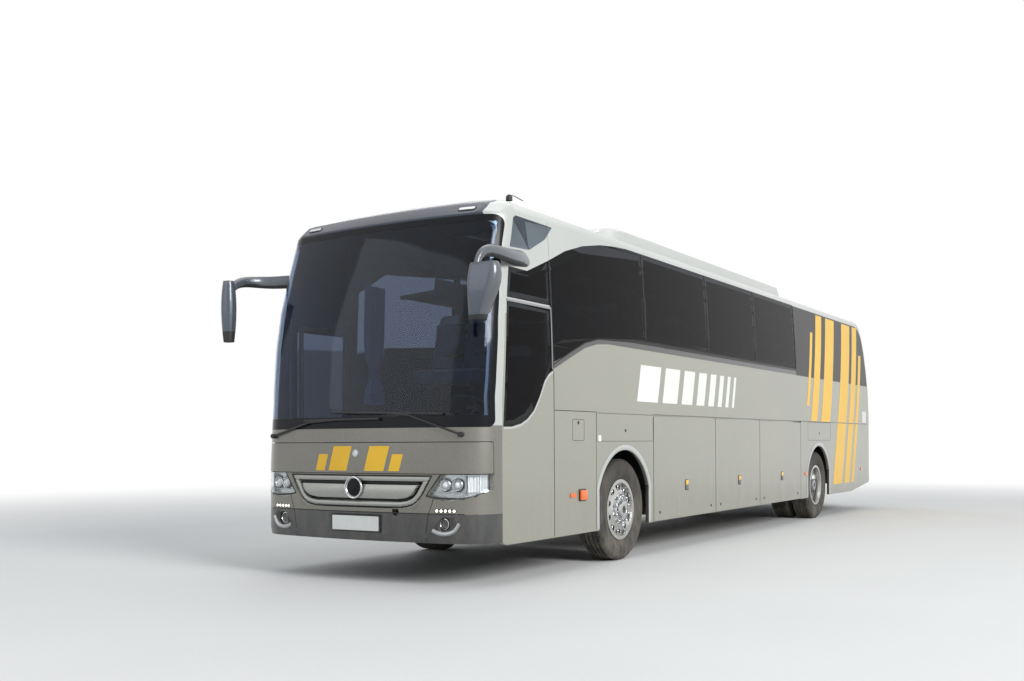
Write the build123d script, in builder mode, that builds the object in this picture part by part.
from build123d import *
import os
from math import cos, radians, sin, sqrt

os.makedirs("parts", exist_ok=True)

# Two-axle touring coach. The front faces -Y, the driver's side is +X, the ground is Z = 0.

# Overall sizes
length = 12980
width = 2550
roof_z = 3400
wheelbase = 6910
front_overhang = 2745
ground_clearance = 345

# Body shell
wall = 40
glass = 8
waist_z = 1600
cant_z = 3330
tumblehome = 76
roof_edge_radius = 150
nose_bow_radius = 6300
shut_gap = 6
quarter_gap = 4
flap_room = 8

# Heights where the panels meet
flap_hinge_z = 1505
rail_z = 3230
lid_bottom_z = 950
lid_top_z = 1225
screen_bottom_z = 1345
screen_top_z = 3180
bumper_bottom_z = 370
rear_bumper_bottom_z = 480
rear_bumper_top_z = 900

# Lengthwise places, from the middle of the coach
nose_y = -length / 2
tail_y = length / 2
front_axle_y = nose_y + front_overhang
rear_axle_y = front_axle_y + wheelbase
corner_y = nose_y + 400
quarter_y = corner_y + 880
tail_corner_y = tail_y - 200

# Wheels and axles
tyre_radius = 520
tyre_width = 290
tyre_outer_x = 1252
twin_gap = 50
rim_radius = 286
rim_lip = 24
rim_wall = 10
bead_gap = 0.3
bead_half = 103
vent_ring = 226
vent_count = 10
vent_radius = 19
hub_end_front = 155
hub_end_rear = 95
spindle_radius = 45
bearing_gap = 0.3
kingpin_x = 930
kingpin_radius = 24
fork_height = 230
eye_height = 150
beam_size = 110
beam_drop = 70
axle_tube_radius = 85
differential_radius = 215

# Wheel arches
arch_radius = 620
arch_half_width = 575
liner_wall = 25
liner_top_z = 1200
front_liner_half = 690
rear_liner_half = 640
liner_inner_x = 500

# Doors on the kerb side, each carried by a turning post and two arms
door_sill_z = 400
front_door_y = (-5985, -5100)
front_door_top_z = 2420
mid_door_y = (1350, 2150)
mid_door_top_z = 2215
door_arm_length = 370
door_post_x = 1140
door_post_radius = 20
door_post_inset = 55
door_arm_height = 30
door_pin_radius = 10

# Top-hinged lids: a round bead turns in an open rail along the lid's upper edge
bead_radius = 5
rail_bore_gap = 0.3
rail_radius = 9
rail_inset = 13
neck_width = 4
lid_drop = 21
rail_root = 7

# Floor, luggage hold and frame
floor_z = 1380
floor_thickness = 40
panel_joint = 0.5
podium_height = 150
aisle_half = 330
platform_z = 960
platform_back_y = -4880
hold_floor_z = 450
hold_floor_thickness = 30
hold_front_y = -3035
hold_back_y = 2225
deck_back_y = 6180
podium_front_y = -4530
stair_wall = 20
step_thickness = 40
step_low_z = 380
well_x = -620

# Steps: outer X, inner X, tread height and the rise behind it
step_front = [(-1227, -880, 420, 270), (-880, -620, 690, 270)]
step_mid = [(-1227, -940, 420, 320), (-940, -700, 740, 320), (-700, -330, 1060, 300)]
frame_rail_x = 430
frame_rail_width = 80
front_frame_z = (560, 760)
rear_frame_z = (640, 840)
tow_radius = 20
tow_depth = 80
tow_rear_z = 730
tow_access_radius = 36
jack_pad = 100
jack_pad_height = 20

# Cabin
seat_rows = 12
seat_pitch = 800
first_seat_y = -4150
seat_width = 415
seat_height = 1130
rack_z = 2800

# Roof
unit_half_width = 930
unit_y = (-3300, 2600)
unit_top_z = 3620
hatch_size = 700
hatch_y = (-4250, 4000)
hatch_coaming = 30

half_width = width / 2
inner_x = half_width - wall
clear_x = inner_x - flap_room
wall_bottom_z = flap_hinge_z + rail_root
side_radius = ((cant_z - waist_z) ** 2 + tumblehome**2) / (2 * tumblehome)

# Plan sections of the nose and tail: height, nose setback, nose corner radius,
# tail setback, tail corner radius
plan_sections = [
    (300, 30, 330, 60, 190),
    (440, 0, 330, 0, 190),
    (1000, 0, 330, 0, 190),
    (1350, 22, 330, 0, 190),
    (waist_z, 41, 330, 0, 190),
    (1720, 50, 320, 0, 190),
    (2100, 82, 310, 40, 190),
    (2450, 140, 300, 105, 190),
    (2800, 238, 290, 200, 190),
    (3050, 312, 280, 300, 190),
    (3200, 362, 270, 410, 190),
    (3300, 480, 250, 560, 180),
    (3370, 660, 250, 760, 180),
    (3430, 980, 250, 1050, 180),
]


def side_x(z):
    """Half width of the body at a height: upright to the waist, then leaning in."""
    rise = max(0, min(z, cant_z) - waist_z)
    return half_width - side_radius + sqrt(side_radius**2 - rise**2)


def nose_setback(z):
    """How far the nose leans back at a height."""
    for low, high in zip(plan_sections, plan_sections[1:]):
        if z <= high[0]:
            share = (z - low[0]) / (high[0] - low[0])
            return low[1] + share * (high[1] - low[1])
    return plan_sections[-1][1]


def nose_surface_y(x, z):
    """Y of the nose's outer face away from its corners."""
    return nose_y + nose_setback(z) + nose_bow_radius - sqrt(nose_bow_radius**2 - x**2)


def body_hull(inset):
    """The body as one closed form, its faces moved in by a wall thickness."""
    half = half_width - inset
    shoulder = (side_x(cant_z) - inset, cant_z - inset)
    with BuildSketch(Plane.XZ.offset(length / 2)) as section:
        with BuildLine():
            Line((0, 0), (half, 0))
            Line((half, 0), (half, waist_z))
            TangentArc((half, waist_z), shoulder, tangent=(0, 1))
            ThreePointArc(shoulder, (0, roof_z - inset), (-shoulder[0], shoulder[1]))
            TangentArc((-half, waist_z), (-shoulder[0], shoulder[1]), tangent=(0, 1))
            Line((-half, waist_z), (-half, 0))
            Line((-half, 0), (0, 0))
        make_face()
        fillet(section.vertices().group_by(Axis.Y)[-1], roof_edge_radius - inset)
    plans = []
    for z, nose_back, nose_corner, tail_back, tail_corner in plan_sections:
        side = side_x(z) - inset
        bow_radius = nose_bow_radius - inset
        front = nose_y + nose_back + inset
        cheek = front + bow_radius - sqrt(bow_radius**2 - side**2)
        back = tail_y - tail_back - inset
        with BuildSketch(Plane.XY.offset(z)) as plan:
            with BuildLine():
                ThreePointArc((-side, cheek), (0, front), (side, cheek))
                Line((side, cheek), (side, back))
                Line((side, back), (-side, back))
                Line((-side, back), (-side, cheek))
            make_face()
            fillet(plan.vertices().group_by(Axis.Y)[0], nose_corner - inset)
            fillet(plan.vertices().group_by(Axis.Y)[-1], tail_corner - inset)
        plans.append(plan.sketch)
    with BuildPart() as hull:
        extrude(section.sketch, amount=-length)
        loft(plans, ruled=True, mode=Mode.INTERSECT)
    return hull.part


outer_hull = body_hull(0)
glass_hull = body_hull(glass)
inner_hull = body_hull(wall)
body_shell = outer_hull - inner_hull


def side_zone(points, side):
    """A prism over an outline of Y and Z, reaching out from the centre plane on one side."""
    with BuildPart() as zone:
        with BuildSketch(Plane.YZ):
            with BuildLine():
                Polyline(*points, close=True)
            make_face()
        extrude(amount=side * width)
    return zone.part


def across_zone(points):
    """A prism over an outline of Y and Z, right across the coach."""
    return side_zone(points, 1) + side_zone(points, -1)


def hinge_plane(axis_point, outward, up):
    """Section plane across a lid's hinge: local X is outward, the lid lies on local -Y."""
    normal = Vector(*outward).cross(Vector(*up))
    return Plane(origin=axis_point, x_dir=outward, z_dir=normal)


def rail_section():
    """Open rail round the bead: its mouth lets the neck swing from hanging to straight out."""
    with BuildSketch() as section:
        Circle(rail_radius)
        Circle(bead_radius + rail_bore_gap, mode=Mode.SUBTRACT)
        with BuildLine():
            reach = 2 * rail_radius
            mouth = [(0, 0)] + [
                (reach * cos(radians(turn)), reach * sin(radians(turn))) for turn in (-120, -50, 25)
            ]
            Polyline(*mouth, close=True)
        make_face(mode=Mode.SUBTRACT)
    return section.sketch


def bead_section():
    """Bead and neck along a lid's hinged edge."""
    with BuildSketch() as section:
        Circle(bead_radius)
        with Locations((0, -(lid_drop + 2) / 2)):
            Rectangle(neck_width, lid_drop + 2)
    return section.sketch


front_edge = [
    (corner_y, lid_top_z),
    (corner_y + 5, waist_z),
    (corner_y + 70, 2260),
    (corner_y + 120, 2600),
    (corner_y + 198, 2916),
    (corner_y + 300, rail_z),
]
leg_y = nose_y + 300
nose_outline = [
    (nose_y - wall, lid_top_z),
    (leg_y, lid_top_z),
    (leg_y, lid_bottom_z),
    (corner_y, lid_bottom_z),
    *front_edge,
    (corner_y + 480, roof_z + wall),
    (nose_y - wall, roof_z + wall),
]
tail_outline = [
    (tail_y + wall, rear_bumper_top_z),
    (tail_corner_y, rear_bumper_top_z),
    (tail_corner_y, 1900),
    (5760, rail_z),
    (5500, roof_z + wall),
    (tail_y + wall, roof_z + wall),
]
roof_outline = [
    (corner_y + 300, rail_z),
    (5760, rail_z),
    (5500, roof_z + wall),
    (corner_y + 480, roof_z + wall),
]
wall_outline = [
    (quarter_y, wall_bottom_z),
    (tail_corner_y, wall_bottom_z),
    (tail_corner_y, 1900),
    (5760, rail_z),
    (quarter_y, rail_z),
]
quarter_outline = [
    (corner_y, bumper_bottom_z),
    *front_edge,
    (quarter_y - quarter_gap, rail_z),
    (quarter_y - quarter_gap, ground_clearance),
    (corner_y + 60, ground_clearance),
]

# Side glass: one flush band of panes, the cab window under it and a quarter light over it
band_front_left = [(corner_y + 112, 2460), (corner_y + 164, 2730), (-5620, 2728)]
band_top = [(-5240, 2870), (-4900, 3010), (-4540, 3112), (-4160, 3180), (-3850, 3212), (-3550, rail_z)]
band_back_y = 2050
band_bottom_z = 2290
band_bottom = [(-3570, 2272), (-4300, 2232), (-4590, 2170), (-4910, 2050), (quarter_y - 35, 1930)]
pane_ends_y = (quarter_y - 35, -3200, -1400, 300, band_back_y)
pane_gap = 8
pane_frame = 55

cab_window = [
    (corner_y + 15, 1342),
    (-5935, 1345),
    (-5790, 1372),
    (-5680, 1415),
    (-5565, 1494),
    (-5470, 1610),
    (-5370, 1768),
    (-5300, 1828),
    (quarter_y - 15, 1862),
    (quarter_y - 20, 2440),
    (corner_y + 108, 2440),
]
quarter_light = [(-5800, 3170), (-5884, 2905), (-5560, 2922), (-5270, 3060), (-5120, 3195), (-5760, 3198)]

# Windscreen and the surround it is bonded to: it wraps round both corners of the nose and
# leaves a strip ahead of the side panels
pillar_strip = 80
screen_corner = 70
nose_plane = Plane.XZ.offset(length / 2 + wall)
nose_depth = 1500


def screen_zone(inset):
    """The space of the windscreen right across the coach, its outline moved in by an inset."""
    low_z = screen_bottom_z + inset
    high_z = screen_top_z - inset
    edge = [(y - pillar_strip - inset, z) for y, z in front_edge]
    with BuildPart() as zone:
        with BuildSketch(Plane.YZ.offset(-half_width)) as outline:
            with BuildLine():
                Polyline((nose_y - wall, lid_top_z), *edge, (nose_y - wall, rail_z), close=True)
            make_face()
            with Locations((nose_y, (low_z + high_z) / 2)):
                Rectangle(width, high_z - low_z, mode=Mode.INTERSECT)
            fillet(
                [
                    outline.vertices().group_by(Axis.Y)[0].sort_by(Axis.X)[-1],
                    outline.vertices().group_by(Axis.Y)[-1].sort_by(Axis.X)[-1],
                ],
                screen_corner,
            )
        extrude(amount=width)
    return zone.part


glass_shell = outer_hull - glass_hull

with BuildPart() as windscreen:
    add(glass_shell)
    add(screen_zone(0), mode=Mode.INTERSECT)
windscreen.part.label = "windscreen"
export_step(windscreen.part, "parts/windscreen.step")

lid_arm_x = (-520, 520)
lid_pivot = (nose_y + 200, lid_top_z + 65)
lid_arm_length = 250
lid_arm_tilt = 11
lid_pin_radius = 9
lid_eye_radius = 18
lid_arm_width = 16
lid_ear_width = 12
lid_side_play = 0.5
lid_ear = (
    lid_pivot[0] + lid_arm_length * sin(radians(lid_arm_tilt)),
    lid_pivot[1] - lid_arm_length * cos(radians(lid_arm_tilt)),
)
lid_arm_middle = ((lid_pivot[0] + lid_ear[0]) / 2, (lid_pivot[1] + lid_ear[1]) / 2)

with BuildPart() as windscreen_surround:
    add(body_shell)
    add(across_zone(nose_outline), mode=Mode.INTERSECT)
    add(windscreen.part, mode=Mode.SUBTRACT)
    add(screen_zone(pane_frame), mode=Mode.SUBTRACT)
    # Ears and pins that carry the service lid's arms, behind the strip under the screen
    ear_back = lid_pivot[0] + lid_eye_radius
    for x in lid_arm_x:
        ear_x = x + lid_arm_width / 2 + lid_side_play + lid_ear_width / 2
        ear_front = nose_surface_y(x, lid_pivot[1]) + wall - 6
        with BuildSketch(Plane.YZ.offset(ear_x - lid_ear_width / 2)):
            with Locations(((ear_front + ear_back) / 2, lid_pivot[1])):
                Rectangle(ear_back - ear_front, 2 * lid_eye_radius)
        extrude(amount=lid_ear_width)
        with BuildSketch(Plane.YZ.offset(x - lid_arm_width / 2)):
            with Locations(lid_pivot):
                Circle(lid_pin_radius)
        extrude(amount=lid_arm_width + lid_side_play)
windscreen_surround.part.label = "windscreen_surround"
export_step(windscreen_surround.part, "parts/windscreen_surround.step")

# Service lid across the nose, on two swinging arms that keep it level
lid_outline = [
    (nose_y - wall, lid_bottom_z + shut_gap),
    (leg_y - shut_gap, lid_bottom_z + shut_gap),
    (leg_y - shut_gap, lid_top_z - shut_gap),
    (nose_y - wall, lid_top_z - shut_gap),
]

with BuildPart() as service_lid:
    add(body_shell)
    add(across_zone(lid_outline), mode=Mode.INTERSECT)
    for x in lid_arm_x:
        ear_x = x - lid_arm_width / 2 - lid_side_play - lid_ear_width
        ear_front = nose_surface_y(x, lid_ear[1]) + wall - 6
        ear_length = lid_ear[0] + lid_eye_radius - ear_front
        with BuildSketch(Plane.YZ.offset(ear_x)):
            with Locations((ear_front + ear_length / 2, lid_ear[1])):
                Rectangle(ear_length, 2 * lid_eye_radius)
        extrude(amount=lid_ear_width)
        with BuildSketch(Plane.YZ.offset(ear_x)):
            with Locations(lid_ear):
                Circle(lid_pin_radius)
        extrude(amount=lid_ear_width + lid_side_play + lid_arm_width)
service_lid.part.label = "service_lid"
export_step(service_lid.part, "parts/service_lid.step")

with BuildPart() as service_lid_arms:
    for x in lid_arm_x:
        with BuildSketch(Plane.YZ.offset(x - lid_arm_width / 2)):
            with Locations(lid_arm_middle):
                SlotCenterToCenter(lid_arm_length, 2 * lid_eye_radius, rotation=90 + lid_arm_tilt)
            with Locations(lid_pivot, lid_ear):
                Circle(lid_pin_radius + bearing_gap, mode=Mode.SUBTRACT)
        extrude(amount=lid_arm_width)
    # Tie bar that makes the two arms swing together
    with BuildSketch(Plane.YZ.offset(lid_arm_x[0])):
        with Locations(lid_arm_middle):
            Circle(8)
    extrude(amount=lid_arm_x[1] - lid_arm_x[0])
service_lid_arms.part.label = "service_lid_arms"
export_step(service_lid_arms.part, "parts/service_lid_arms.step")

# Headlamps and grille share the nose's surface with the bumper around them
lamp_inner_x = 740
lamp_top_z = lid_bottom_z - 2
with BuildPart() as lamp_prisms:
    for side in (-1, 1):
        with BuildSketch(nose_plane):
            with BuildLine():
                Line((side * lamp_inner_x, 770), (side * 875, lamp_top_z))
                Line((side * 875, lamp_top_z), (side * (half_width + 20), lamp_top_z))
                Line((side * (half_width + 20), lamp_top_z), (side * (half_width + 20), 850))
                ThreePointArc(
                    (side * (half_width + 20), 850),
                    (side * 1080, 745),
                    (side * lamp_inner_x, 770),
                )
            make_face()
        extrude(amount=-(corner_y - 105 - nose_y + wall))

with BuildPart() as headlamps:
    add(body_shell)
    add(lamp_prisms.part, mode=Mode.INTERSECT)
headlamps.part.label = "headlamps"
export_step(headlamps.part, "parts/headlamps.step")

grille_top_z = 942
grille_bottom_z = 655
grille_top_half = 800
grille_bottom_half = 640
slot_z = (722, 800)
slot_height = 44
badge_z = 872
badge_radius = 58
with BuildSketch(nose_plane) as grille_outline:
    with BuildLine():
        Polyline(
            (-grille_bottom_half, grille_bottom_z),
            (grille_bottom_half, grille_bottom_z),
            (grille_top_half, grille_top_z),
            (-grille_top_half, grille_top_z),
            close=True,
        )
    make_face()
    fillet(grille_outline.vertices().group_by(Axis.Y)[0], 70)
with BuildPart() as grille_prism:
    extrude(grille_outline.sketch, amount=nose_depth, dir=(0, 1, 0))
    add(lamp_prisms.part, mode=Mode.SUBTRACT)

with BuildPart() as grille:
    add(body_shell)
    add(grille_prism.part, mode=Mode.INTERSECT)
    for z in slot_z:
        with BuildSketch(nose_plane):
            with Locations((0, z)):
                SlotOverall(2 * grille_bottom_half - 60, slot_height)
        extrude(amount=-nose_depth, mode=Mode.SUBTRACT)
    with BuildSketch(Plane.XZ.offset(-nose_surface_y(0, badge_z) - wall / 2)):
        with Locations((0, badge_z)):
            Circle(badge_radius)
    extrude(amount=wall / 2 + 10)
grille.part.label = "grille"
export_step(grille.part, "parts/grille.step")

bumper_outline = [
    (nose_y - wall, bumper_bottom_z),
    (corner_y, bumper_bottom_z),
    (corner_y, lid_bottom_z),
    (nose_y - wall, lid_bottom_z),
]
fog_x = 915
fog_z = 530
fog_radius = 62
plate_z = 522
with BuildPart() as front_bumper:
    add(body_shell)
    add(across_zone(bumper_outline), mode=Mode.INTERSECT)
    add(lamp_prisms.part, mode=Mode.SUBTRACT)
    add(grille_prism.part, mode=Mode.SUBTRACT)
    # Fog lamp pockets
    with BuildSketch(Plane.XZ.offset(-nose_surface_y(fog_x, fog_z) - 28)):
        with Locations((-fog_x, fog_z), (fog_x, fog_z)):
            Circle(fog_radius)
    extrude(amount=wall * 2, mode=Mode.SUBTRACT)
    # Step across the bumper behind the number plate
    with BuildSketch(Plane.XZ.offset(-nose_surface_y(0, plate_z) - 12)):
        with Locations((0, plate_z)):
            RectangleRounded(620, 160, 20)
    extrude(amount=wall, mode=Mode.SUBTRACT)
    # Way in to the towing socket
    with BuildSketch(nose_plane) as tow_way:
        with Locations((frame_rail_x, 630)):
            Circle(tow_access_radius)
    extrude(tow_way.sketch, amount=nose_depth, dir=(0, 1, 0), mode=Mode.SUBTRACT)
front_bumper.part.label = "front_bumper"
export_step(front_bumper.part, "parts/front_bumper.step")


# Upper side walls, with the panel round the cab window as a piece of its own
flap_ends_y = {
    1: [(-3040, -1220), (-1220, 400), (400, 2230)],
    -1: [(-3040, -1220), (-1220, 400)],
}
pane_openings = list(zip(pane_ends_y, pane_ends_y[1:]))
glass_band = {
    1: [
        *band_front_left,
        *band_top,
        (band_back_y, rail_z),
        (band_back_y, band_bottom_z),
        *band_bottom,
        (quarter_y - 35, 2460),
    ],
    -1: [
        (front_door_y[1] + 50, 2945),
        *[point for point in band_top if point[0] > front_door_y[1] + 50],
        (band_back_y, rail_z),
        (band_back_y, band_bottom_z),
        *[point for point in band_bottom if point[0] > front_door_y[1] + 50],
        (front_door_y[1] + 50, 2010),
    ],
}


def window_opening(start_y, end_y):
    """Outline of the hole in the wall behind one pane."""
    bottom = band_bottom_z + pane_frame
    top = rail_z - pane_frame
    start = start_y + pane_frame
    end = end_y - pane_frame
    if start_y < -4000:
        return [(start, 2150), (start, 2790), (-4560, 3040), (end, 3150), (end, bottom), (-4500, 2250)]
    return [(start, bottom), (end, bottom), (end, top), (start, top)]


def side_wall(side):
    """Wall above the flap line, cut for its panes and carrying the flaps' hinge rails."""
    with BuildPart() as panel:
        add(body_shell)
        add(side_zone(wall_outline, side), mode=Mode.INTERSECT)
        add(side_zone(glass_band[side], side) & glass_shell, mode=Mode.SUBTRACT)
        for start_y, end_y in pane_openings:
            start_y = max(start_y, front_door_y[1] + 50) if side < 0 else start_y
            add(side_zone(window_opening(start_y, end_y), side), mode=Mode.SUBTRACT)
        for start_y, end_y in flap_ends_y[side]:
            hinge_x = side * (half_width - rail_inset)
            start = end_y if side > 0 else start_y
            axis = hinge_plane((hinge_x, start, flap_hinge_z), (side, 0, 0), (0, 0, 1))
            extrude(axis * rail_section(), amount=end_y - start_y)
    return panel


def leaf_prism(ends_y, top_z, side, gap):
    """The space of a side door or flap, grown by a gap all round."""
    low, high = ends_y
    corners = [
        (low - gap, door_sill_z - gap),
        (high + gap, door_sill_z - gap),
        (high + gap, top_z + gap),
        (low - gap, top_z + gap),
    ]
    return side_zone(corners, side)


cab_hole = [
    (corner_y + 65, 1400),
    (-5900, 1410),
    (-5730, 1465),
    (-5610, 1550),
    (-5420, 1820),
    (quarter_y - 80, 1910),
    (quarter_y - 80, 2385),
    (corner_y + 150, 2385),
]
band_front_hole = [
    (corner_y + 170, 2515),
    (corner_y + 205, 2680),
    (-5600, 2680),
    (quarter_y - 70, 2790),
    (quarter_y - 70, 2515),
]

with BuildPart() as side_wall_left:
    add(side_wall(1).part)
    add(body_shell & side_zone(quarter_outline, 1))
    for outline in (cab_window, quarter_light, glass_band[1]):
        add(side_zone(outline, 1) & glass_shell, mode=Mode.SUBTRACT)
    for outline in (cab_hole, band_front_hole):
        add(side_zone(outline, 1), mode=Mode.SUBTRACT)
side_wall_left.part.label = "side_wall_left"
export_step(side_wall_left.part, "parts/side_wall_left.step")

with BuildPart() as side_wall_right:
    add(side_wall(-1).part)
    add(body_shell & side_zone(quarter_outline, -1))
    add(side_zone(quarter_light, -1) & glass_shell, mode=Mode.SUBTRACT)
    add(leaf_prism(front_door_y, front_door_top_z, -1, shut_gap), mode=Mode.SUBTRACT)
    add(leaf_prism(mid_door_y, mid_door_top_z, -1, shut_gap), mode=Mode.SUBTRACT)
side_wall_right.part.label = "side_wall_right"
export_step(side_wall_right.part, "parts/side_wall_right.step")


def side_glass(side, outlines):
    """Flush panes of one side, a joint's width apart, and the quarter light over them."""
    with BuildPart() as panes:
        for outline in outlines:
            add(side_zone(outline, side) & glass_shell)
        for joint_y in pane_ends_y[:-1]:
            joint = [
                (joint_y - pane_gap / 2, waist_z),
                (joint_y + pane_gap / 2, waist_z),
                (joint_y + pane_gap / 2, rail_z),
                (joint_y - pane_gap / 2, rail_z),
            ]
            if side > 0 or joint_y > front_door_y[1]:
                add(side_zone(joint, side), mode=Mode.SUBTRACT)
        add(side_zone(quarter_light, side) & glass_shell)
    return panes


with BuildPart() as side_glass_left:
    add(side_glass(1, (glass_band[1], cab_window)).part)
side_glass_left.part.label = "side_glass_left"
export_step(side_glass_left.part, "parts/side_glass_left.step")

with BuildPart() as side_glass_right:
    add(side_glass(-1, (glass_band[-1],)).part)
side_glass_right.part.label = "side_glass_right"
export_step(side_glass_right.part, "parts/side_glass_right.step")

# Lower panels that stay shut: skirts, arches and the covers over the wheels
skirt_ends_y = {
    1: [(quarter_y, -3040 - shut_gap), (2230 + shut_gap, tail_corner_y)],
    -1: [
        (front_door_y[1] + shut_gap, -3040 - shut_gap),
        (400 + shut_gap, mid_door_y[0] - shut_gap),
        (mid_door_y[1] + shut_gap, tail_corner_y),
    ],
}


def lower_panels(side):
    """Skirt panels under the flap line with the wheel arches cut out."""
    with BuildPart() as panels:
        for start_y, end_y in skirt_ends_y[side]:
            outline = [
                (start_y, ground_clearance),
                (min(end_y, 5100), ground_clearance),
                (end_y, ground_clearance if end_y < 5100 else 460),
                (end_y, wall_bottom_z),
                (start_y, wall_bottom_z),
            ]
            if end_y < 5100:
                outline.pop(1)
            add(body_shell & side_zone(outline, side))
        for axle_y in (front_axle_y, rear_axle_y):
            with BuildSketch(Plane.YZ):
                with Locations((axle_y, tyre_radius)):
                    Circle(arch_radius)
                with Locations((axle_y, tyre_radius / 2)):
                    Rectangle(2 * arch_half_width, tyre_radius, mode=Mode.ADD)
                with Locations((axle_y - arch_radius, tyre_radius), (axle_y + arch_radius, tyre_radius)):
                    Rectangle(2 * (arch_radius - arch_half_width), 2 * arch_radius, mode=Mode.SUBTRACT)
            extrude(amount=side * width, mode=Mode.SUBTRACT)
    return panels


with BuildPart() as lower_panels_left:
    add(lower_panels(1).part)
lower_panels_left.part.label = "lower_panels_left"
export_step(lower_panels_left.part, "parts/lower_panels_left.step")

with BuildPart() as lower_panels_right:
    add(lower_panels(-1).part)
lower_panels_right.part.label = "lower_panels_right"
export_step(lower_panels_right.part, "parts/lower_panels_right.step")

# Luggage flaps
for side, ends in flap_ends_y.items():
    for number, (start_y, end_y) in enumerate(ends, 1):
        low_y = start_y + shut_gap
        high_y = end_y - shut_gap
        flap_outline = [
            (low_y, ground_clearance + 5),
            (high_y, ground_clearance + 5),
            (high_y, flap_hinge_z - lid_drop),
            (low_y, flap_hinge_z - lid_drop),
        ]
        hinge_x = side * (half_width - rail_inset)
        axis = hinge_plane(
            (hinge_x, high_y if side > 0 else low_y, flap_hinge_z), (side, 0, 0), (0, 0, 1)
        )
        with BuildPart() as flap:
            add(body_shell & side_zone(flap_outline, side))
            extrude(axis * bead_section(), amount=high_y - low_y)
        flap.part.label = f"flap_{'left' if side > 0 else 'right'}_{number}"
        export_step(flap.part, f"parts/{flap.part.label}.step")

# Kerb-side doors: leaf, glass, and the turning post with its two arms
doors = {
    "front": (front_door_y, front_door_top_z, (620, 2325)),
    "mid": (mid_door_y, mid_door_top_z, (620, 2120)),
}
for name, (ends_y, top_z, arm_z) in doors.items():
    post_y = ends_y[0] + door_post_inset
    pin_y = post_y + door_arm_length
    leaf_ear_x = -(side_x(top_z) - wall)
    hole = [
        (ends_y[0] + 90, 1500 if name == "mid" else 900),
        (ends_y[1] - 90, 1500 if name == "mid" else 900),
        (ends_y[1] - 90, top_z - 110),
        (ends_y[0] + 90, top_z - 110),
    ]
    pane = [
        (ends_y[0] + 40, hole[0][1] - 50),
        (ends_y[1] - 40, hole[0][1] - 50),
        (ends_y[1] - 40, top_z - 50),
        (ends_y[0] + 40, top_z - 50),
    ]
    with BuildPart() as leaf:
        add(body_shell & leaf_prism(ends_y, top_z, -1, 0))
        add(side_zone(pane, -1) & glass_shell, mode=Mode.SUBTRACT)
        add(side_zone(hole, -1), mode=Mode.SUBTRACT)
        # Ears with a pin for each arm, on the stile inside the leaf
        for z in arm_z:
            ear_z = z + door_arm_height + 1
            ear_outer = side_x(ear_z) - wall + 5
            with BuildSketch(Plane.XY.offset(ear_z)):
                with Locations((-(door_post_x - 20 + ear_outer) / 2, pin_y)):
                    Rectangle(ear_outer - door_post_x + 20, 40)
            extrude(amount=12)
            with BuildSketch(Plane.XY.offset(z)):
                with Locations((-door_post_x, pin_y)):
                    Circle(door_pin_radius)
            extrude(amount=door_arm_height + 1)
    leaf.part.label = f"{name}_door"
    export_step(leaf.part, f"parts/{name}_door.step")

    with BuildPart() as door_pane:
        add(side_zone(pane, -1) & glass_shell)
    door_pane.part.label = f"{name}_door_glass"
    export_step(door_pane.part, f"parts/{name}_door_glass.step")

    with BuildPart() as door_arms:
        post_low = step_front[0][2] + bearing_gap
        with BuildSketch(Plane.XY.offset(post_low)):
            with Locations((-door_post_x, post_y)):
                Circle(door_post_radius)
        extrude(amount=arm_z[1] + door_arm_height - post_low)
        for z in arm_z:
            with BuildSketch(Plane.XY.offset(z)):
                with Locations((-door_post_x, (post_y + pin_y) / 2)):
                    SlotCenterToCenter(door_arm_length, 2 * door_post_radius, rotation=90)
                with Locations((-door_post_x, pin_y)):
                    Circle(door_pin_radius + bearing_gap, mode=Mode.SUBTRACT)
            extrude(amount=door_arm_height)
    door_arms.part.label = f"{name}_door_arms"
    export_step(door_arms.part, f"parts/{name}_door_arms.step")

# Roof shell with its two hatches
hatch_half = hatch_size / 2
hatch_top_z = roof_z + 22
hatch_lid_thickness = 30
hatch_lid_gap = 6
hatch_hinge_z = hatch_top_z + hatch_lid_gap + hatch_lid_thickness - rail_inset

with BuildPart() as roof_shell:
    add(body_shell & across_zone(roof_outline))
    for centre_y in hatch_y:
        with BuildSketch(Plane.XY.offset(roof_z - wall - 20)):
            with Locations((0, centre_y)):
                Rectangle(hatch_size + 2 * hatch_coaming, hatch_size + 2 * hatch_coaming)
        extrude(amount=hatch_top_z - roof_z + wall + 20)
        with BuildSketch(Plane.XY.offset(roof_z - 2 * wall)):
            with Locations((0, centre_y)):
                Rectangle(hatch_size, hatch_size)
        extrude(amount=200, mode=Mode.SUBTRACT)
        # Hinge rail on the coaming's front edge, with a web down to it
        hinge_y = centre_y - hatch_half - hatch_coaming + rail_radius
        axis = hinge_plane((-hatch_half, hinge_y, hatch_hinge_z), (0, 0, 1), (0, -1, 0))
        extrude(axis * rail_section(), amount=hatch_size)
        with BuildSketch(Plane.XY.offset(hatch_top_z - 1)):
            with Locations((0, hinge_y - (rail_radius + bead_radius + rail_bore_gap) / 2)):
                Rectangle(hatch_size, rail_radius - bead_radius - rail_bore_gap)
        extrude(amount=hatch_hinge_z - hatch_top_z + 2)
roof_shell.part.label = "roof_shell"
export_step(roof_shell.part, "parts/roof_shell.step")

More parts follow.
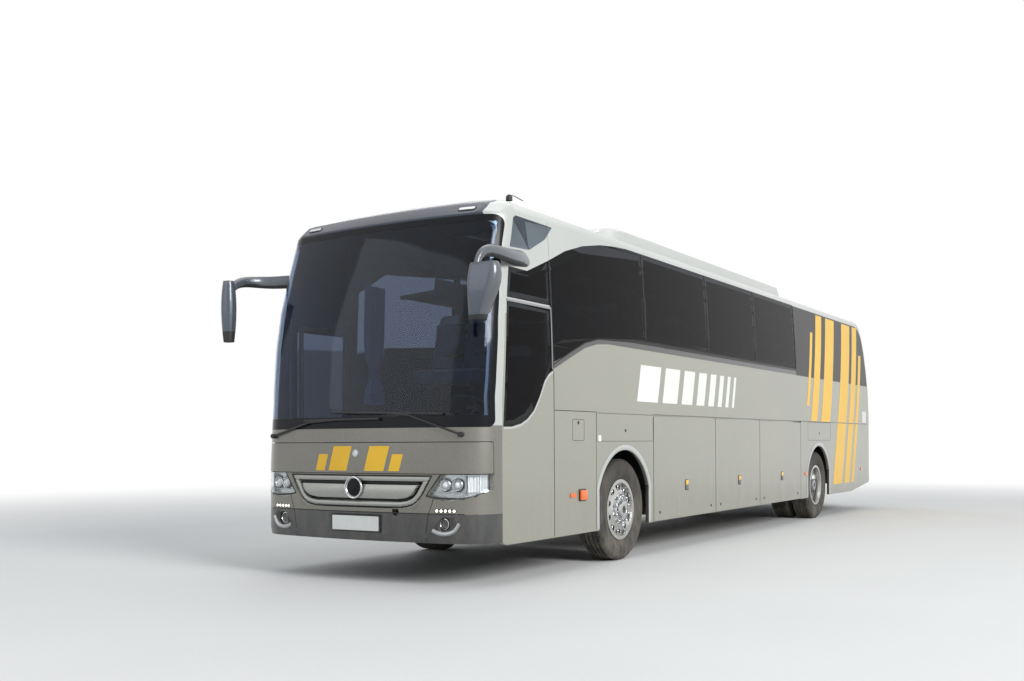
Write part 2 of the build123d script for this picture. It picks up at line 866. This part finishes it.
for centre_y, place in zip(hatch_y, ("front", "rear")):
    hinge_y = centre_y - hatch_half - hatch_coaming + rail_radius
    axis = hinge_plane((-hatch_half + 10, hinge_y, hatch_hinge_z), (0, 0, 1), (0, -1, 0))
    lid_front_y = hinge_y + lid_drop
    lid_back_y = centre_y + hatch_half + hatch_coaming
    with BuildPart() as hatch:
        with BuildSketch(Plane.XY.offset(hatch_top_z + hatch_lid_gap)):
            with Locations((0, (lid_front_y + lid_back_y) / 2)):
                Rectangle(hatch_size + 2 * hatch_coaming, lid_back_y - lid_front_y)
        extrude(amount=hatch_lid_thickness)
        chamfer(hatch.edges().group_by(Axis.Z)[-1].sort_by(Axis.Y)[1:], 8)
        extrude(axis * bead_section(), amount=hatch_size - 20)
    hatch.part.label = f"roof_hatch_{place}"
    export_step(hatch.part, f"parts/{hatch.part.label}.step")

# Air conditioner on the roof
with BuildPart() as air_conditioner:
    with BuildSketch(Plane.XY.offset(roof_z - 60)):
        with Locations((0, sum(unit_y) / 2)):
            RectangleRounded(2 * unit_half_width, unit_y[1] - unit_y[0], 260)
    with BuildSketch(Plane.XY.offset(unit_top_z - 80)):
        with Locations((0, sum(unit_y) / 2 + 20)):
            RectangleRounded(2 * unit_half_width - 60, unit_y[1] - unit_y[0] - 260, 240)
    with BuildSketch(Plane.XY.offset(unit_top_z)):
        with Locations((0, sum(unit_y) / 2 + 60)):
            RectangleRounded(2 * unit_half_width - 420, unit_y[1] - unit_y[0] - 620, 200)
    loft(ruled=True)
    add(outer_hull, mode=Mode.SUBTRACT)
air_conditioner.part.label = "air_conditioner"
export_step(air_conditioner.part, "parts/air_conditioner.step")

# Tail: upper panel round the window, lamps, lift-up engine lid and bumper
tail_plane = Plane.XZ.offset(-length / 2 - wall)
tail_depth = 1300
rear_window_z = (2250, 2980)
rear_window_half = 1010
engine_lid_half = 930
engine_lid_z = (930, 1700)
tail_lamp_z = (930, 1620)
tail_lamp_x = 1010


def tail_rectangle(low_x, high_x, low_z, high_z, rounding):
    """A rounded prism from behind the tail forward through its skin."""
    with BuildPart() as block:
        with BuildSketch(tail_plane) as face:
            with Locations(((low_x + high_x) / 2, (low_z + high_z) / 2)):
                RectangleRounded(high_x - low_x, high_z - low_z, rounding)
        extrude(face.sketch, amount=tail_depth, dir=(0, -1, 0))
    return block.part


window_block = tail_rectangle(-rear_window_half, rear_window_half, *rear_window_z, 90)
window_hole_block = tail_rectangle(
    -rear_window_half + pane_frame,
    rear_window_half - pane_frame,
    rear_window_z[0] + pane_frame,
    rear_window_z[1] - pane_frame,
    60,
)
lid_block = tail_rectangle(
    -engine_lid_half - shut_gap,
    engine_lid_half + shut_gap,
    engine_lid_z[0] - shut_gap,
    engine_lid_z[1] + rail_root,
    8,
)
with BuildPart() as tail_lamp_blocks:
    for side in (-1, 1):
        with BuildSketch(tail_plane) as lamp_face:
            with Locations((side * (tail_lamp_x + half_width + 20) / 2, sum(tail_lamp_z) / 2)):
                RectangleRounded(half_width + 20 - tail_lamp_x, tail_lamp_z[1] - tail_lamp_z[0], 30)
        extrude(lamp_face.sketch, amount=wall + 120, dir=(0, -1, 0))

tail_skin = body_shell & across_zone(tail_outline)
lid_hinge_y = tail_y - rail_inset

with BuildPart() as rear_window:
    add(glass_shell & window_block)
rear_window.part.label = "rear_window"
export_step(rear_window.part, "parts/rear_window.step")

with BuildPart() as tail_lamps:
    add(tail_skin & tail_lamp_blocks.part)
tail_lamps.part.label = "tail_lamps"
export_step(tail_lamps.part, "parts/tail_lamps.step")

with BuildPart() as rear_wall:
    add(tail_skin)
    add(rear_window.part, mode=Mode.SUBTRACT)
    add(window_hole_block, mode=Mode.SUBTRACT)
    add(lid_block, mode=Mode.SUBTRACT)
    add(tail_lamp_blocks.part, mode=Mode.SUBTRACT)
    axis = hinge_plane((-engine_lid_half, lid_hinge_y, engine_lid_z[1]), (0, 1, 0), (0, 0, 1))
    extrude(axis * rail_section(), amount=2 * engine_lid_half)
rear_wall.part.label = "rear_wall"
export_step(rear_wall.part, "parts/rear_wall.step")

with BuildPart() as engine_lid:
    add(
        body_shell
        & tail_rectangle(
            -engine_lid_half, engine_lid_half, engine_lid_z[0], engine_lid_z[1] - lid_drop, 4
        )
    )
    # Louvres let the engine's heat out
    for row in range(6):
        with BuildSketch(tail_plane) as louvre:
            with Locations((0, 1080 + 62 * row)):
                SlotOverall(1300, 26)
        extrude(louvre.sketch, amount=wall * 3, dir=(0, -1, 0), mode=Mode.SUBTRACT)
    axis = hinge_plane((-engine_lid_half + 10, lid_hinge_y, engine_lid_z[1]), (0, 1, 0), (0, 0, 1))
    extrude(axis * bead_section(), amount=2 * engine_lid_half - 20)
engine_lid.part.label = "engine_lid"
export_step(engine_lid.part, "parts/engine_lid.step")

rear_bumper_outline = [
    (tail_corner_y, rear_bumper_bottom_z),
    (tail_y + wall, rear_bumper_bottom_z),
    (tail_y + wall, rear_bumper_top_z),
    (tail_corner_y, rear_bumper_top_z),
]
with BuildPart() as rear_bumper:
    add(body_shell & across_zone(rear_bumper_outline))
    with BuildSketch(Plane.XZ.offset(-tail_y + 12)) as plate_step:
        with Locations((0, 700)):
            RectangleRounded(620, 170, 20)
    extrude(plate_step.sketch, amount=wall, dir=(0, 1, 0), mode=Mode.SUBTRACT)
    # Window over the towing socket, in a narrow strip between two joints
    strip_z = (rear_bumper_bottom_z + rear_bumper_top_z) / 2
    strip_height = 2 * (rear_bumper_top_z - rear_bumper_bottom_z)
    with BuildSketch(tail_plane) as tow_way:
        with Locations((frame_rail_x, tow_rear_z)):
            Rectangle(2 * tow_access_radius, 2 * tow_access_radius)
        with Locations(
            (frame_rail_x - tow_access_radius, strip_z), (frame_rail_x + tow_access_radius, strip_z)
        ):
            Rectangle(panel_joint, strip_height)
    extrude(tow_way.sketch, amount=wall * 3, dir=(0, -1, 0), mode=Mode.SUBTRACT)
rear_bumper.part.label = "rear_bumper"
export_step(rear_bumper.part, "parts/rear_bumper.step")


def slab(low, high, mode=Mode.ADD):
    """A straight box between two corners, joined to the sub-part being built."""
    size = [b - a for a, b in zip(low, high)]
    with Locations(low):
        Box(*size, align=(Align.MIN, Align.MIN, Align.MIN), mode=mode)


# Floor panels: deck, sunken aisle, podiums, cab platform, and the steps at both doors
deck_low_z = floor_z - floor_thickness
podium_z = floor_z + podium_height
riser_y = platform_back_y - stair_wall
stair_ends_y = (mid_door_y[0] - stair_wall, mid_door_y[1] + stair_wall)
with BuildPart() as cabin_floor:
    slab((-clear_x, platform_back_y, deck_low_z), (clear_x, podium_front_y - panel_joint, floor_z))
    slab((-aisle_half, podium_front_y, deck_low_z), (aisle_half, deck_back_y, floor_z))
    for side, start_y, end_y in (
        (1, podium_front_y, deck_back_y),
        (-1, podium_front_y, stair_ends_y[0] - panel_joint),
        (-1, stair_ends_y[1] + panel_joint, deck_back_y),
    ):
        low_x, high_x = sorted((side * (aisle_half + panel_joint), side * clear_x))
        slab((low_x, start_y, deck_low_z), (high_x, end_y, podium_z))
        # Ledge that sits on the side wall, above the flaps
        low_x, high_x = sorted((side * clear_x, side * inner_x))
        slab((low_x, start_y, wall_bottom_z + 1), (high_x, end_y, podium_z))
    # Cab platform, the riser behind it and the step up to the aisle
    riser_back_y = platform_back_y - panel_joint
    slab((well_x, -6080, platform_z - floor_thickness), (inner_x, platform_back_y, platform_z))
    slab((-clear_x, riser_y, step_low_z), (well_x - panel_joint, riser_back_y, floor_z))
    slab((well_x, riser_y, platform_z + panel_joint), (inner_x, riser_back_y, floor_z))
    slab(
        (-aisle_half, platform_back_y - 290, platform_z + panel_joint),
        (aisle_half, riser_y - panel_joint, 1170),
    )
    # Treads and risers of both stairs, and the side walls of the middle one
    for stair, start_y, end_y in (
        (step_front, front_door_y[0] + 45, riser_y - panel_joint),
        (step_mid, mid_door_y[0], mid_door_y[1]),
    ):
        for low_x, high_x, top, rise in stair:
            tread_end_x = high_x - stair_wall - panel_joint
            slab((low_x, start_y, top - step_thickness), (tread_end_x, end_y, top))
            slab(
                (high_x - stair_wall, start_y, top - step_thickness),
                (high_x - panel_joint, end_y, top + rise),
            )
    for low_y, high_y in (
        (stair_ends_y[0], mid_door_y[0] - panel_joint),
        (mid_door_y[1] + panel_joint, stair_ends_y[1]),
    ):
        slab((-clear_x, low_y, step_low_z), (-aisle_half - panel_joint, high_y, floor_z))
cabin_floor.part.label = "cabin_floor"
export_step(cabin_floor.part, "parts/cabin_floor.step")

# Luggage hold: pan and end walls
with BuildPart() as luggage_hold:
    pan_low = hold_floor_z - hold_floor_thickness
    well_y = mid_door_y[0] - stair_wall
    slab((-clear_x, hold_front_y, pan_low), (clear_x, well_y, hold_floor_z))
    slab((-aisle_half, well_y, pan_low), (clear_x, hold_back_y, hold_floor_z))
    slab((-clear_x, hold_front_y, pan_low), (clear_x, hold_front_y + stair_wall, deck_low_z))
    slab((-aisle_half, hold_back_y - stair_wall, pan_low), (clear_x, hold_back_y, deck_low_z))
luggage_hold.part.label = "luggage_hold"
export_step(luggage_hold.part, "parts/luggage_hold.step")

# Tubs over the wheels, open below and outwards
with BuildPart() as wheel_tubs:
    for axle_y, reach in ((front_axle_y, front_liner_half), (rear_axle_y, rear_liner_half)):
        for side in (1, -1):
            skin_x = side * inner_x
            back_x = side * liner_inner_x
            room_x = side * (liner_inner_x + liner_wall)
            low_x, high_x = sorted((back_x, skin_x))
            slab(
                (low_x, axle_y - reach, tyre_radius),
                (high_x, axle_y + reach, liner_top_z + liner_wall),
            )
            low_x, high_x = sorted((room_x, side * (inner_x + 1)))
            slab(
                (low_x, axle_y - reach + liner_wall, tyre_radius - 1),
                (high_x, axle_y + reach - liner_wall, liner_top_z),
                mode=Mode.SUBTRACT,
            )
    # Room for the rear axle tube
    slab(
        (-liner_inner_x - 30, rear_axle_y - 130, tyre_radius - 1),
        (liner_inner_x + 30, rear_axle_y + 130, tyre_radius + 130),
        mode=Mode.SUBTRACT,
    )
wheel_tubs.part.label = "wheel_tubs"
export_step(wheel_tubs.part, "parts/wheel_tubs.step")

# Underframe: two long rails each end, cross members, posts up to the deck, bumper beams
cross_height = 60
tow_front_mouth = nose_surface_y(frame_rail_x, 630) + wall
engine_y = (4500, 6050)
rail_low_x = frame_rail_x - frame_rail_width / 2
rail_high_x = frame_rail_x + frame_rail_width / 2
frame_front_y = nose_y + 290
frame_back_y = tail_y - 110
with BuildPart() as front_beam:
    slab((-rail_high_x, nose_y, 600), (rail_high_x, frame_front_y, 660))

with BuildPart() as underframe:
    for start_y, end_y, (low_z, high_z), crosses, posts in (
        (frame_front_y, hold_front_y, front_frame_z, (-6200, -5000, -4500), (-6080, platform_back_y, -3180)),
        (hold_back_y, frame_back_y, rear_frame_z, (3900,), (hold_back_y, 4100, 6100)),
    ):
        for low_x, high_x in ((rail_low_x, rail_high_x), (-rail_high_x, -rail_low_x)):
            slab((low_x, start_y, low_z), (high_x, end_y, high_z))
            for y in posts:
                cab = y < platform_back_y
                top = platform_z - floor_thickness if cab else deck_low_z
                slab((low_x + 10, y, high_z + panel_joint), (high_x - 10, y + 60, top))
        for y in crosses:
            slab((-rail_low_x, y, low_z), (rail_low_x, y + cross_height, high_z))
    slab((-rail_low_x, hold_front_y - 60, front_frame_z[0]), (rail_low_x, hold_front_y, front_frame_z[1]))
    for y in (engine_y[0] - cross_height, engine_y[1]):
        slab((-rail_low_x, y, rear_frame_z[0]), (rail_low_x, y + cross_height, rear_frame_z[0] + 60))
    slab((-900, frame_back_y, 700), (900, tail_y - wall, 760))
    # Pads for a jack under the rails
    for y, rail_low_z in ((-4700, front_frame_z[0]), (2400, rear_frame_z[0])):
        for x in (frame_rail_x, -frame_rail_x):
            slab(
                (x - jack_pad / 2, y - jack_pad / 2, rail_low_z - jack_pad_height),
                (x + jack_pad / 2, y + jack_pad / 2, rail_low_z + 1),
            )
    add(front_beam.part & inner_hull)
    # Sockets for a screwed towing eye
    with BuildSketch(nose_plane) as front_socket:
        with Locations((frame_rail_x, 630)):
            Circle(tow_radius)
    socket_reach = tow_front_mouth + tow_depth - nose_y + wall
    extrude(front_socket.sketch, amount=socket_reach, dir=(0, 1, 0), mode=Mode.SUBTRACT)
    with BuildSketch(Plane.XZ.offset(wall - tail_y)) as rear_socket:
        with Locations((frame_rail_x, tow_rear_z)):
            Circle(tow_radius)
    extrude(rear_socket.sketch, amount=tow_depth, dir=(0, -1, 0), mode=Mode.SUBTRACT)
underframe.part.label = "underframe"
export_step(underframe.part, "parts/underframe.step")

engine_x = rail_low_x - 5
with BuildPart() as engine:
    slab((-engine_x, engine_y[0], 560), (engine_x, engine_y[1], 1240))
engine.part.label = "engine"
export_step(engine.part, "parts/engine.step")

# Front axle beam with an upright eye at each end
axle_z = tyre_radius
wheel_mid_x = tyre_outer_x - tyre_width / 2
with BuildPart() as front_axle:
    with BuildSketch(Plane.YZ.offset(-kingpin_x + 180)):
        with Locations((front_axle_y, axle_z - beam_drop)):
            RectangleRounded(beam_size, beam_size, 20)
    extrude(amount=2 * (kingpin_x - 180))
    for side in (1, -1):
        with BuildSketch(Plane.YZ.offset(side * (kingpin_x - 200))):
            with Locations((front_axle_y, axle_z - beam_drop)):
                Rectangle(beam_size, beam_size)
        with BuildSketch(Plane.YZ.offset(side * (kingpin_x - 30))):
            with Locations((front_axle_y, axle_z)):
                Rectangle(70, eye_height - 20)
        loft(ruled=True)
        with BuildSketch(Plane.XY.offset(axle_z - eye_height / 2)):
            with Locations((side * kingpin_x, front_axle_y)):
                Circle(48)
        extrude(amount=eye_height)
        # Air spring up to the frame rail
        with BuildSketch(Plane.XY.offset(axle_z - beam_drop)):
            with Locations((side * frame_rail_x, front_axle_y)):
                Circle(52)
        extrude(amount=front_frame_z[0] - axle_z + beam_drop)
        with Locations((side * kingpin_x, front_axle_y, axle_z + eye_height / 2)):
            Hole(kingpin_radius + bearing_gap, depth=eye_height)
front_axle.part.label = "front_axle"
export_step(front_axle.part, "parts/front_axle.step")

# Steering knuckles: fork round the axle eye, king pin and wheel spindle
spindle_end_x = wheel_mid_x + hub_end_front - 12
rear_spindle_end_x = wheel_mid_x + hub_end_rear - 12
for side, name in ((1, "left"), (-1, "right")):
    with BuildPart() as knuckle:
        fork_gap = eye_height / 2 + 2
        fork_face_x = kingpin_x + 56
        for z in (axle_z + fork_gap, axle_z - fork_height / 2):
            with BuildSketch(Plane.XY.offset(z)):
                with Locations((side * kingpin_x, front_axle_y)):
                    Circle(42)
                with Locations((side * (kingpin_x + fork_face_x) / 2, front_axle_y)):
                    Rectangle(fork_face_x - kingpin_x, 84)
            extrude(amount=fork_height / 2 - fork_gap)
        with BuildSketch(Plane.XY.offset(axle_z - fork_height / 2)):
            with Locations((side * kingpin_x, front_axle_y)):
                Circle(kingpin_radius)
        extrude(amount=fork_height)
        with BuildSketch(Plane.YZ.offset(side * fork_face_x)):
            with Locations((front_axle_y, axle_z)):
                Circle(fork_height / 2)
        extrude(amount=side * 24)
        with BuildSketch(Plane.YZ.offset(side * (fork_face_x + 20))):
            with Locations((front_axle_y, axle_z)):
                Circle(spindle_radius)
        extrude(amount=side * (spindle_end_x - fork_face_x - 20))
    knuckle.part.label = f"knuckle_{name}"
    export_step(knuckle.part, f"parts/knuckle_{name}.step")

# Rear axle: tube, differential and air springs under the rails
twin_inner_x = tyre_outer_x - 2 * tyre_width - twin_gap
with BuildPart() as rear_axle:
    with BuildSketch(Plane.YZ.offset(-twin_inner_x + 30)):
        with Locations((rear_axle_y, axle_z)):
            Circle(axle_tube_radius)
    extrude(amount=2 * twin_inner_x - 60)
    with BuildSketch(Plane.YZ.offset(-rear_spindle_end_x)):
        with Locations((rear_axle_y, axle_z)):
            Circle(spindle_radius)
    extrude(amount=2 * rear_spindle_end_x)
    with Locations((0, rear_axle_y, axle_z)):
        Sphere(differential_radius)
    for side in (1, -1):
        with BuildSketch(Plane.XY.offset(axle_z)):
            with Locations((side * frame_rail_x, rear_axle_y)):
                Circle(60)
        extrude(amount=rear_frame_z[0] - axle_z)
rear_axle.part.label = "rear_axle"
export_step(rear_axle.part, "parts/rear_axle.step")


def tyre_solid(plane):
    """Tyre with crowned tread and bulged sidewalls, its outer sidewall towards local +Z."""
    half = tyre_width / 2
    seat = rim_radius + bead_gap
    # Half outline of radius and height: bead, widest part, shoulder and crown
    outer = [
        (seat, bead_half),
        (seat + 36, bead_half),
        (tyre_radius - 104, half),
        (tyre_radius - 34, half - 12),
        (tyre_radius - 4, half - 42),
    ]
    with BuildPart() as tyre:
        with BuildSketch(Plane.XZ):
            with BuildLine():
                Polyline(*outer, (tyre_radius, 0), *[(r, -z) for r, z in reversed(outer)], close=True)
            make_face()
        revolve(axis=Axis.Z)
    return plane * tyre.part


def rim_solid(plane, dish, hub_end):
    """Wheel with its disc set off by the dish; a hub with an end cap where one is given."""
    lip = bead_half + bead_gap
    barrel = rim_radius - rim_wall
    join = max(30 - bead_half, min(dish, bead_half - 30))
    bore = spindle_radius + bearing_gap
    inboard = dish - 70
    hub = [(bore, dish + 12)]
    if hub_end:
        hub = [(bore, hub_end - 10), (0, hub_end - 10), (0, hub_end), (66, hub_end), (84, dish + 12)]
    with BuildPart() as rim:
        with BuildSketch(Plane.XZ):
            with BuildLine():
                Polyline(
                    (rim_radius, -lip),
                    (rim_radius + rim_lip, -lip),
                    (rim_radius + rim_lip, -lip - 12),
                    (barrel, -lip - 12),
                    (barrel - 12, 40 - lip),
                    (barrel - 12, lip - 40),
                    (barrel, lip + 12),
                    (rim_radius + rim_lip, lip + 12),
                    (rim_radius + rim_lip, lip),
                    (rim_radius, lip),
                    close=True,
                )
            make_face()
            with BuildLine():
                Polyline(
                    (bore, inboard),
                    *hub,
                    (168, dish + 12),
                    (192, dish),
                    (barrel - 6, join),
                    (barrel - 6, join - 14),
                    (188, dish - 14),
                    (bore + 40, dish - 14),
                    (bore + 40, inboard),
                    close=True,
                )
            make_face()
        revolve(axis=Axis.Z)
        with BuildSketch(Plane.XY.offset(dish - 200)):
            with PolarLocations(vent_ring, vent_count):
                Circle(vent_radius)
        extrude(amount=400, mode=Mode.SUBTRACT)
        with BuildSketch(Plane.XY.offset(dish)):
            with PolarLocations(140, 10):
                RegularPolygon(16, 6)
        extrude(amount=36)
    return plane * rim.part


# Wheels: distance from the wheel's middle to its disc, and where the hub cap ends
wheel_rows = {
    "front": (front_axle_y, [(wheel_mid_x, 95, hub_end_front)]),
    "rear": (
        rear_axle_y,
        [(wheel_mid_x, -160, hub_end_rear), (wheel_mid_x - tyre_width - twin_gap, 155, None)],
    ),
}
for row, (axle_y, places) in wheel_rows.items():
    for side, side_name in ((1, "left"), (-1, "right")):
        seats = [
            (Plane(origin=(side * x, axle_y, axle_z), z_dir=(side, 0, 0)), dish, hub_end)
            for x, dish, hub_end in places
        ]
        with BuildPart() as tyres:
            for seat, dish, hub_end in seats:
                add(tyre_solid(seat))
        tyres.part.label = f"tyre_{row}_{side_name}"
        export_step(tyres.part, f"parts/{tyres.part.label}.step")
        with BuildPart() as rims:
            for seat, dish, hub_end in seats:
                add(rim_solid(seat, dish, hub_end))
        rims.part.label = f"rim_{row}_{side_name}"
        export_step(rims.part, f"parts/{rims.part.label}.step")

# Dashboard with the driver's binnacle, and the steering wheel on its column
driver_x = 690
dash_top_z = 1330
dash_front_y = -6240
wheel_tilt = 35
steering_radius = 225
steering_centre = (driver_x, -5640, 1500)
with BuildPart() as dashboard:
    with BuildSketch(Plane.YZ.offset(-560)) as dash_section:
        with BuildLine():
            Line((dash_front_y, 1180), (dash_front_y, dash_top_z - 40))
            ThreePointArc((dash_front_y, dash_top_z - 40), (-6080, dash_top_z + 10), (-5900, dash_top_z - 20))
            ThreePointArc((-5900, dash_top_z - 20), (-5860, dash_top_z - 60), (-5880, dash_top_z - 110))
            Line((-5880, dash_top_z - 110), (-6000, platform_z))
            Line((-6000, platform_z), (-6180, platform_z))
            Line((-6180, platform_z), (dash_front_y, 1180))
        make_face()
    extrude(amount=1690)
    with BuildSketch(Plane.YZ.offset(driver_x - 330)):
        with BuildLine():
            Line((-6080, dash_top_z - 10), (-6040, dash_top_z + 90))
            ThreePointArc((-6040, dash_top_z + 90), (-5940, dash_top_z + 110), (-5870, dash_top_z + 60))
            Line((-5870, dash_top_z + 60), (-5880, dash_top_z - 60))
            Line((-5880, dash_top_z - 60), (-6080, dash_top_z - 10))
        make_face()
    extrude(amount=660)
    add(inner_hull, mode=Mode.INTERSECT)
dashboard.part.label = "dashboard"
export_step(dashboard.part, "parts/dashboard.step")

steering_plane = Plane(origin=steering_centre, z_dir=(0, sin(radians(wheel_tilt)), cos(radians(wheel_tilt))))
with BuildPart() as steering_wheel:
    with BuildSketch(Plane(steering_centre, x_dir=steering_plane.x_dir, z_dir=steering_plane.y_dir)):
        with Locations((steering_radius, 0)):
            RegularPolygon(15, 8)
    revolve(axis=Axis(steering_centre, steering_plane.z_dir))
    for turn in (0, 120, 240):
        spoke = steering_plane.rotated((0, 0, turn))
        with BuildSketch(spoke.offset(-8)):
            with Locations((0, steering_radius / 2)):
                Rectangle(44, steering_radius)
        extrude(amount=10)
    with BuildSketch(steering_plane.offset(-30)):
        Circle(78)
    extrude(amount=40)
    with BuildSketch(steering_plane.offset(-360)):
        Circle(34)
    extrude(amount=340)
    add(dashboard.part, mode=Mode.SUBTRACT)
steering_wheel.part.label = "steering_wheel"
export_step(steering_wheel.part, "parts/steering_wheel.step")


def seat_section(front_y, base_z, depth, height, thick):
    """Side outline of one seat, cushion to head restraint, its front towards -Y."""
    cushion_z = base_z + 330
    back_y = front_y + depth
    with BuildLine() as outline:
        Polyline(
            (front_y + 60, base_z),
            (back_y - 60, base_z),
            (back_y - 40, cushion_z - 20),
            (back_y + 150, base_z + height - 30),
            (back_y + 120, base_z + height),
            (back_y + 40, base_z + height),
            (back_y - thick, cushion_z + 150),
            (front_y + 20, cushion_z + 150),
            (front_y, cushion_z + 120),
            (front_y + 20, cushion_z),
            (front_y + 60, cushion_z - 20),
            close=True,
        )
    return outline.line


with BuildPart() as driver_seat:
    with BuildSketch(Plane.YZ.offset(driver_x - 240)):
        add(seat_section(-5400, platform_z + 0.3, 440, 1180, 110))
        make_face()
    extrude(amount=480)
driver_seat.part.label = "driver_seat"
export_step(driver_seat.part, "parts/driver_seat.step")

seat_inner_x = aisle_half + 15
for side, side_name in ((1, "left"), (-1, "right")):
    with BuildPart() as seats:
        for row in range(seat_rows):
            front_y = first_seat_y + row * seat_pitch
            over_stairs = front_y < mid_door_y[1] + 60 and front_y + 640 > mid_door_y[0] - 60
            if side < 0 and over_stairs:
                continue
            low_x = seat_inner_x if side > 0 else -seat_inner_x - 2 * seat_width
            with BuildSketch(Plane.YZ.offset(low_x)):
                add(seat_section(front_y, podium_z + 0.3, 440, seat_height, 90))
                make_face()
            extrude(amount=2 * seat_width)
    seats.part.label = f"seats_{side_name}"
    export_step(seats.part, f"parts/seats_{side_name}.step")

# Luggage racks under the roof
rack_y = (-4300, 5300)
with BuildPart() as luggage_racks:
    for side in (1, -1):
        with BuildSketch(Plane.XZ.offset(-rack_y[0])):
            with BuildLine():
                Polyline(
                    (side * 1150, rack_z),
                    (side * 700, rack_z + 40),
                    (side * 690, rack_z + 190),
                    (side * 715, rack_z + 190),
                    (side * 730, rack_z + 70),
                    (side * 1150, rack_z + 40),
                    close=True,
                )
            make_face()
        extrude(amount=-(rack_y[1] - rack_y[0]))
        # Brackets out to the side wall
        for y in (rack_y[0], -3250, -1450, 250, 2050, rack_y[1] - 60):
            low_x, high_x = sorted((side * 1140, side * (half_width - 20)))
            slab((low_x, y, rack_z), (high_x, y + 60, rack_z + 40))
    add(inner_hull, mode=Mode.INTERSECT)
luggage_racks.part.label = "luggage_racks"
export_step(luggage_racks.part, "parts/luggage_racks.step")

# Mirrors hang ahead of the nose on arms that swell towards the body
# Columns of a route: x, y, z, and the arm's height and thickness there
# Columns of a head: height over the head's middle, size across, size lengthwise, shift across
mirror_specs = {
    "left": (
        1,
        [
            (1190, -5560, 2800, 150, 90),
            (1265, -5850, 2812, 135, 90),
            (1300, -6120, 2805, 115, 76),
            (1300, -6380, 2785, 90, 62),
            (1285, -6490, 2650, 50, 50),
        ],
        (1370, -6495, 2440),
        [(-230, 150, 100, -70), (-120, 200, 140, -45), (120, 290, 156, 0), (230, 250, 110, 0)],
    ),
    "right": (
        -1,
        [
            (1160, -5930, 2790, 130, 76),
            (1330, -6020, 2790, 125, 72),
            (1480, -6130, 2788, 115, 66),
            (1545, -6330, 2765, 95, 62),
            (1540, -6470, 2650, 56, 56),
        ],
        (1540, -6495, 2470),
        [(-290, 100, 80, 0), (-150, 125, 110, 0), (150, 130, 120, 0), (290, 100, 90, 0)],
    ),
}
with BuildPart() as mirrors:
    for side, route, (head_x, head_y, head_z), head_sections in mirror_specs.values():
        points = [Vector(side * x, y, z) for x, y, z, height, thickness in route]
        for number, (x, y, z, height, thickness) in enumerate(route):
            before = points[max(number - 1, 0)]
            after = points[min(number + 1, len(points) - 1)]
            along = (after - before).normalized()
            across = along.cross(Vector(side, 0, 0)).normalized()
            with BuildSketch(Plane(points[number], x_dir=across, z_dir=along)):
                Ellipse(height / 2, thickness / 2)
        loft()
        for rise, across_size, along_size, shift in head_sections:
            with BuildSketch(Plane.XY.offset(head_z + rise)):
                with Locations((side * (head_x + shift), head_y)):
                    RectangleRounded(across_size, along_size, along_size * 0.42)
        loft()
    add(outer_hull, mode=Mode.SUBTRACT)
mirrors.part.label = "mirrors"
export_step(mirrors.part, "parts/mirrors.step")

# Wipers: pivots in the strip under the screen, arms and blades just clear of the glass
wiper_proud = 26
# Columns: points (x, z) of the arm from its pivot to mid blade, and of the blade
wiper_rows = [
    (((-1060, 1285), (-560, 1403), (-180, 1424)), ((-620, 1418), (-180, 1424), (260, 1426))),
    (((1060, 1285), (574, 1450), (300, 1474)), ((888, 1458), (300, 1474), (-282, 1490))),
]


def over_screen(x, z):
    """Point just in front of the nose at (x, z)."""
    return (x, nose_surface_y(x, z) - wiper_proud, z)


with BuildPart() as wipers:
    for arm_points, blade_points in wiper_rows:
        pivot_x, pivot_z = arm_points[0]
        pivot_y = nose_surface_y(pivot_x, pivot_z)
        with BuildSketch(Plane.XZ.offset(-pivot_y - 5)):
            with Locations((pivot_x, pivot_z)):
                Circle(22)
        extrude(amount=40)
        for points, radius in ((arm_points, 9), (blade_points, 11)):
            with BuildLine() as rod_line:
                Polyline(*[over_screen(x, z) for x, z in points])
            with BuildSketch(Plane(origin=rod_line.line @ 0, z_dir=rod_line.line % 0)):
                Circle(radius)
            sweep(path=rod_line.line, transition=Transition.ROUND)
    add(outer_hull, mode=Mode.SUBTRACT)
wipers.part.label = "wipers"
export_step(wipers.part, "parts/wipers.step")

# Marker lamps along the skirts
marker_y = (-4860, -4670, -2130, -390, 1340, 2480, 5760)
marker_z = 715
with BuildPart() as side_lamps:
    for side in (1, -1):
        for y in marker_y:
            fixed = any(low < y < high for low, high in skirt_ends_y[side])
            if fixed:
                with BuildSketch(Plane.YZ.offset(side * half_width)):
                    with Locations((y, marker_z)):
                        RectangleRounded(110, 42, 14)
                extrude(amount=side * 9)
side_lamps.part.label = "side_lamps"
export_step(side_lamps.part, "parts/side_lamps.step")
